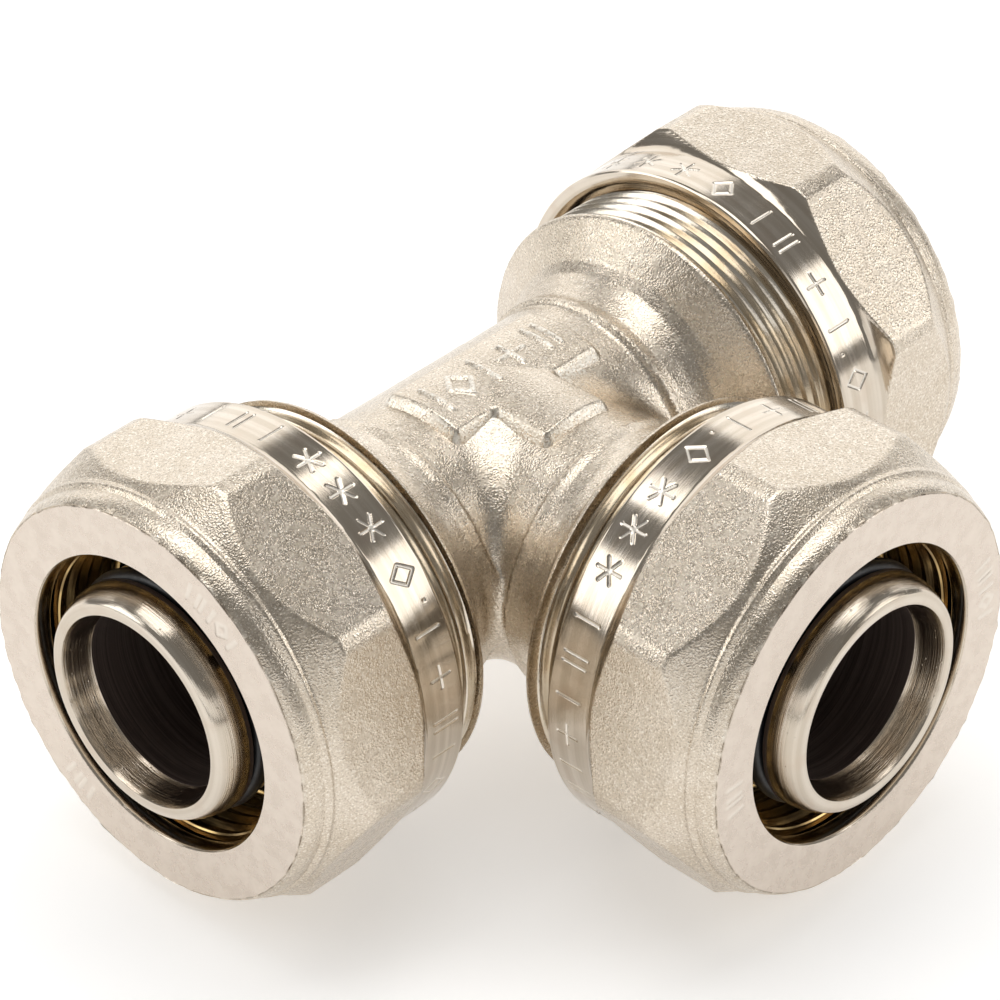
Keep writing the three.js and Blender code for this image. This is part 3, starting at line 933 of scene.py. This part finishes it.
def split_outline():
    """Outline of the split ring's section: ribs in the bore, cones at both ends, soft edges."""
    outline = [(15.97, -11.1), (16.1, SPLIT_BOTTOM), (16.9, SPLIT_BOTTOM), (17.06, -11.1), (18.8, -8.55)]
    outline += [(SPLIT_OUTER, -z) for z in (8.3, 7.6, 6.9, 6.2, 5.5, 5.1)]
    outline += [(18.8, -4.9), (16.92, -3.02), (16.75, SPLIT_TOP), (16.1, SPLIT_TOP), (SPLIT_BORE, -3.05)]
    for i in range(RIBS):
        top = SPLIT_TOP - (i + 0.25) * RIB_PITCH
        outline += [(SPLIT_BORE, top), (SPLIT_BORE + 0.2, top - 0.30), (SPLIT_BORE + 0.42, top - 0.62)]
        outline += [(SPLIT_BORE + 0.42, top - 0.98), (SPLIT_BORE + 0.2, top - 1.30)]
    return outline


def build_split_ring(port, face):
    columns = 240
    outline = split_outline()
    half_slit = math.asin(SLIT_HALF_WIDTH / SPLIT_MIDDLE)
    angle = np.linspace(math.pi / 2 + half_slit, math.pi / 2 + TURN - half_slit, columns)
    points, faces = [], []
    for radius, z in outline:
        points.append(np.stack([radius * np.cos(angle), radius * np.sin(angle), np.full(columns, z)], 1))
    n = len(outline)
    for k in range(n):
        m = (k + 1) % n
        for i in range(columns - 1):
            faces.append([k * columns + i, k * columns + i + 1, m * columns + i + 1, m * columns + i])
    faces.append([k * columns for k in range(n)])
    faces.append([k * columns + columns - 1 for k in range(n)][::-1])
    piece = new_piece("clamp_ring_" + port["name"], np.concatenate(points), faces,
                      port_matrix(port, face, math.radians(port["slit"])), [BRASS], sharp=30.0)
    attach(piece, "ring_" + port["name"], "yellow_brass", "split_ring_" + port["name"])


# --- nut ----------------------------------------------------------------------------------------

# Where two rings meet, one number of columns divides the other. The octagon's corners fall on columns.
BAND_COLUMNS, FACE_COLUMNS, FLAT_COLUMNS, INNER_COLUMNS = 1440, 960, 480, 240
SEAM_RADIUS = 21.70
FLAT_DENT = 0.014
THREAD_BOTTOM, THREAD_TOP = -20.3, -12.8
BAND_MARK_SIZE, BAND_MARK_DEPTH = 2.9, 0.10
BAND_STROKE = (0.06, 0.13)      # half width and fade, as in mark_field
FACE_MARK_RADIUS, FACE_MARK_SIZE, FACE_MARK_HEIGHT = 19.2, 1.9, 0.09
FACE_STROKE = (0.17, 0.18)
# Engraved marks round the band, as (degrees from the nut's first_mark, kind)
BAND_MARKS = [
    (-75.4, "star"), (-62.4, "star"), (-49.4, "star"), (-36.2, "lozenge"), (-22.7, "bar"),
    (-13.0, "twin"), (0.0, "plus"), (12.4, "bar"), (19.5, "dot"), (27.5, "lozenge"), (41.0, "star"),
    (52.5, "star"), (64.0, "star"), (77.0, "bar"), (87.5, "twin"), (98.0, "bar"), (109.0, "plus"),
    (119.5, "bar"), (130.0, "twin"), (143.0, "star"), (155.0, "star"), (167.0, "star"),
    (180.0, "lozenge"), (192.0, "bar"), (202.0, "twin"), (213.5, "plus"), (225.0, "bar"),
    (234.0, "dot"), (243.0, "lozenge"), (256.5, "bar"), (269.0, "twin"),
]
# Raised marks on the front face, as (degrees from the nut's face_mark, kind)
FACE_MARKS = [
    (-14, "bar"), (-9, "lozenge"), (-4, "bar"), (1, "twin"), (6, "bar"),
    (168, "bar"), (173, "twin"), (178, "bar"),
]


def nut_outline(depth):
    """Radius of the nut's turned outline at a depth below its front face."""
    depths = [0.0, 0.35, 0.8, 1.3, 1.8, 2.2, 2.5, 2.75, 3.05, 3.3, 6.9, SHOULDER_START]
    radii = [FACE_RADIUS, 22.0, 22.24, 22.42, 22.50, 22.54, 22.90, 23.05, 22.96, 23.00, CORNER, CORNER]
    if depth <= SHOULDER_START:
        return float(np.interp(depth, depths, radii))
    # from here down to the band the corners are turned to a curve
    part = (depth - SHOULDER_START) / (BAND_START - SHOULDER_START)
    return BAND_RADIUS + (CORNER - BAND_RADIUS) * (1 - part) ** 1.7


def octagon(angle):
    """Radius of the eight forged flats at an angle."""
    side = TURN / NUT_SIDES
    off = (angle + side / 2) % side - side / 2
    return NUT_HALF_FLATS / np.cos(off)


def noise_round(angle, size, seed):
    """Noise that closes on itself round a circle of this radius."""
    return np.array([noise.noise(Vector((size * math.cos(a), size * math.sin(a), seed))) for a in angle])


def marks_round(marks, first, radius, across, size):
    """Marks for mark_field, from their angles after the first in degrees. All have one size."""
    return [(kind, math.radians(first + degrees) * radius, across, size) for degrees, kind in marks]


def loft_nut_face(loft, port):
    """The mouth, the satin front face with its raised marks, and the torn seam round it."""
    loft.profile(FLAT_COLUMNS, [
        (19.3, -5.2), (19.2, -4.95), (16.35, -2.1), (MOUTH, -1.9), (MOUTH, -0.35), (MOUTH + 0.12, -0.1)])
    middle = FACE_MARK_RADIUS
    marks = marks_round(FACE_MARKS, port["face_mark"], middle, middle, FACE_MARK_SIZE)
    angle = round_angles(FACE_COLUMNS)
    for radius in np.linspace(16.5, 21.6, 27):
        raised = mark_field(angle * middle, radius, marks, TURN * middle, *FACE_STROKE)
        height = FACE_MARK_HEIGHT * raised
        loft.ring(FACE_COLUMNS, radius, height, finish=0.0, mark=0.5 * raised, satin=1.0)
    wander = noise_round(angle, 9, port["first_mark"])
    tears = noise_round(angle, 17, port["first_mark"])
    seam = SEAM_RADIUS + 0.10 * wander + 0.10 * tears
    chips = np.clip(4 * tears, 0, 1)
    # The seam is drawn darker, less where it is chipped.
    loft.ring(FACE_COLUMNS, seam - 0.09, -0.01, finish=0.0, satin=1.0)
    loft.ring(FACE_COLUMNS, seam, -0.10 - 0.16 * np.abs(tears),
              finish=0.0, dirt=0.65 * (1 - chips), mark=0.3 * chips)
    loft.ring(FACE_COLUMNS, seam + 0.12, -0.10 + 0.12 * tears,
              finish=0.0, dirt=0.2 * (1 - chips), mark=0.4 * chips)


def loft_nut_flats(loft, port):
    """The dented flats inside the turned outline. Below the shoulder the outline shows as turned."""
    angle = round_angles(FLAT_COLUMNS)
    flats = octagon(angle)
    depths = np.concatenate([
        np.linspace(0.4, 2.2, 9), np.linspace(2.4, 3.4, 8),
        np.linspace(3.6, 13.2, 38), np.linspace(13.4, 15.55, 14)])
    for depth in depths:
        outline = nut_outline(depth)
        radius = smooth_min(np.full(FLAT_COLUMNS, outline), flats, 0.10)
        seed = depth + 31 * port["first_mark"]
        dent = np.array([
            noise.noise(Vector((r * math.cos(a), r * math.sin(a), seed)) / 0.9)
            for r, a in zip(radius, angle)])
        radius = radius + FLAT_DENT * dent * min(1.0, max(0.0, depth - 0.35))
        finish = 0.0
        if depth > SHOULDER_START - 0.1:
            finish = np.clip(0.5 + (flats - outline) / 0.12, 0, 1)
        loft.ring(FLAT_COLUMNS, radius, -depth, finish=finish)


def loft_nut_band(loft, port):
    """The turned band with its engraved marks."""
    marks = marks_round(BAND_MARKS, port["first_mark"], BAND_RADIUS, BAND_MIDDLE, BAND_MARK_SIZE)
    angle = round_angles(BAND_COLUMNS)
    for z in -np.linspace(BAND_START, BAND_END, 40):
        cut = mark_field(angle * BAND_RADIUS, z, marks, TURN * BAND_RADIUS, *BAND_STROKE)
        loft.ring(BAND_COLUMNS, BAND_RADIUS - BAND_MARK_DEPTH * cut, z, mark=cut)


def loft_nut_inside(loft, port, face):
    """The back face, the thread, which meets the port's thread, and the seat of the split ring."""
    loft.profile(FLAT_COLUMNS, [
        (BAND_RADIUS - 0.06, -20.7), (BAND_RADIUS - 0.22, -NUT_LENGTH),
        (22.6, -NUT_LENGTH), (22.0, -NUT_LENGTH)])
    loft.profile(INNER_COLUMNS, [(21.87, -20.75), (FEMALE_ROOT, THREAD_BOTTOM)])
    turns = port["turn"] / 360 + 0.5
    phase = MALE_PHASE + port["extra"] + turns * PITCH - face
    loft.thread(INNER_COLUMNS, THREAD_TOP, phase, FEMALE_ROOT, FEMALE_CREST)
    loft.profile(INNER_COLUMNS, [
        (FEMALE_ROOT, -10.0), (FEMALE_ROOT - 0.1, -9.9), (19.4, -9.9), (19.3, -9.8), (19.3, -7.5)])


def build_nut(port, face):
    loft = Loft()
    loft_nut_face(loft, port)
    loft_nut_flats(loft, port)
    loft_nut_band(loft, port)
    loft_nut_inside(loft, port, face)
    loft.close()
    matrix = port_matrix(port, face, math.radians(port["turn"]))
    piece = loft.piece("nut_" + port["name"], matrix, [NUT], 32.0)
    attach(piece, "nut_" + port["name"], "nut_nickel", port["node"])


build_forging()
for port in PORTS:
    face = nut_face(port)
    build_port_end(port)
    build_washer(port)
    for place in ORINGS:
        build_oring(port, place)
    build_split_ring(port, face)
    build_nut(port, face)

# --- studio -------------------------------------------------------------------------------------


def build_floor():
    reach = 3.0
    corners = [(-reach, -reach, 0), (reach, -reach, 0), (reach, reach, 0), (-reach, reach, 0)]
    mesh = bpy.data.meshes.new("floor")
    mesh.from_pydata(corners, [], [(0, 1, 2, 3)])
    floor = bpy.data.objects.new("floor", mesh)
    bpy.context.scene.collection.objects.link(floor)
    paint = Paint("floor_paper", Roughness=0.9)
    paint.shader.inputs["Base Color"].default_value = (*FLOOR_WHITE, 1)
    paint.shader.inputs["Emission Color"].default_value = (1.0, 0.985, 0.965, 1)
    paint.shader.inputs["Emission Strength"].default_value = 0.38
    mesh.materials.append(paint.material)


# Level directions of the camera's view, away from it and across to its right
AWAY = Vector((0.724, 0.690, 0.0))
ACROSS = Vector((0.690, -0.724, 0.0))


def area_light(name, away, across, height, size, radiance):
    """A soft panel that faces the tee centre. Its place from there and its size are in metres."""
    data = bpy.data.lights.new(name, "AREA")
    data.shape = "RECTANGLE"
    data.size, data.size_y = size
    data.energy = radiance * math.pi * size[0] * size[1]
    lamp = bpy.data.objects.new(name, data)
    lamp.location = CENTRE + AWAY * away + ACROSS * across + Vector((0, 0, height))
    lamp.rotation_euler = (CENTRE - lamp.location).to_track_quat("-Z", "Y").to_euler()
    bpy.context.scene.collection.objects.link(lamp)


def build_world():
    world = bpy.data.worlds.new("studio")
    bpy.context.scene.world = world
    world.use_nodes = True
    background = world.node_tree.nodes["Background"]
    background.inputs["Color"].default_value = (1.0, 0.985, 0.96, 1)
    background.inputs["Strength"].default_value = 0.25
    bpy.context.scene.view_settings.view_transform = "Standard"


def build_camera():
    """The fitted pinhole camera, at a distance in metres from a target near the tee centre."""
    azimuth, elevation, roll = math.radians(-46.28), math.radians(36.31), math.radians(-0.49)
    distance = 0.48333
    target = Vector((-0.06, -1.39, -0.65)) * MM + CENTRE
    back = Vector((
        math.sin(azimuth) * math.cos(elevation),
        -math.cos(azimuth) * math.cos(elevation),
        math.sin(elevation)))
    right = Vector((math.cos(azimuth), math.sin(azimuth), 0))
    up = back.cross(right)
    across = right * math.cos(roll) + up * math.sin(roll)
    upward = up * math.cos(roll) - right * math.sin(roll)
    data = bpy.data.cameras.new("camera")
    data.sensor_width = 36.0
    data.lens = 167.01
    data.clip_start, data.clip_end = 0.01, 20.0
    camera = bpy.data.objects.new("camera", data)
    matrix = Matrix((across, upward, back)).transposed().to_4x4()
    matrix.translation = target + back * distance
    camera.matrix_world = matrix
    bpy.context.scene.collection.objects.link(camera)
    bpy.context.scene.camera = camera


build_floor()
build_world()
build_camera()
area_light("back_wall", 0.95, 0.0, 0.38, (2.0, 0.7), 1.3)
area_light("top_box", 0.16, -0.05, 0.95, (1.0, 0.6), 2.35)
area_light("left_box", 0.0, -0.80, 0.35, (0.5, 0.5), 2.2)
area_light("right_box", 0.0, 0.80, 0.35, (0.5, 0.5), 1.9)
area_light("front_fill", -0.95, 0.0, 0.22, (1.5, 0.35), 0.9)
